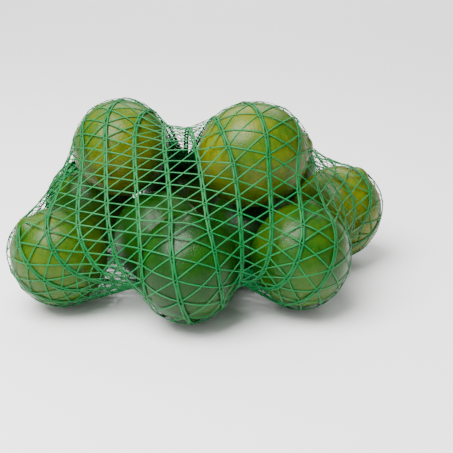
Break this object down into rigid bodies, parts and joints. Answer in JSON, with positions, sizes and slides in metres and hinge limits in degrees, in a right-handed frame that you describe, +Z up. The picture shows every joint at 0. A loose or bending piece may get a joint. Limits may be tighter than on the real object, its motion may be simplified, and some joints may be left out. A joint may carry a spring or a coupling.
{
  "type": "mesh produce bag",
  "caption": "Knitted mesh bag drawn tight round limes, gathered and clipped at both ends, with a loose top tail.",
  "frame": {"origin": "middle of the bag's footprint, on the surface it lies on", "axes": "+X along the bag's long side to the right seen from the front, +Y to the back where the top gather is, +Z up"},
  "size_m": [0.2204, 0.1874, 0.1138],
  "materials": {
    "net": "satin knitted polyethylene",
    "lime": "waxy fruit skin",
    "clip_metal": "satin"
  },
  "bodies": {
    "filled_bag": {"net_tube": "net", "bottom_clip": "clip_metal", "bottom_tail": "net", "lime_core_left": "lime", "lime_core_right": "lime", "lime_front": "lime", "lime_left": "lime", "lime_rear": "lime", "lime_rear_left": "lime", "lime_rear_right": "lime", "lime_right": "lime", "lime_shoulder": "lime", "lime_top_left": "lime", "lime_top_right": "lime"},
    "neck": {"top_clip": "clip_metal", "top_tail": "net"}
  },
  "joints": [
    {"name": "neck_swing", "type": "hinge", "parent": "filled_bag", "child": "neck", "pos_m": [-0.01378, 0.03773, 0.06132], "axis": [0.8233, 0.5239, -0.2183], "range_deg": [0, 90]}
  ]
}
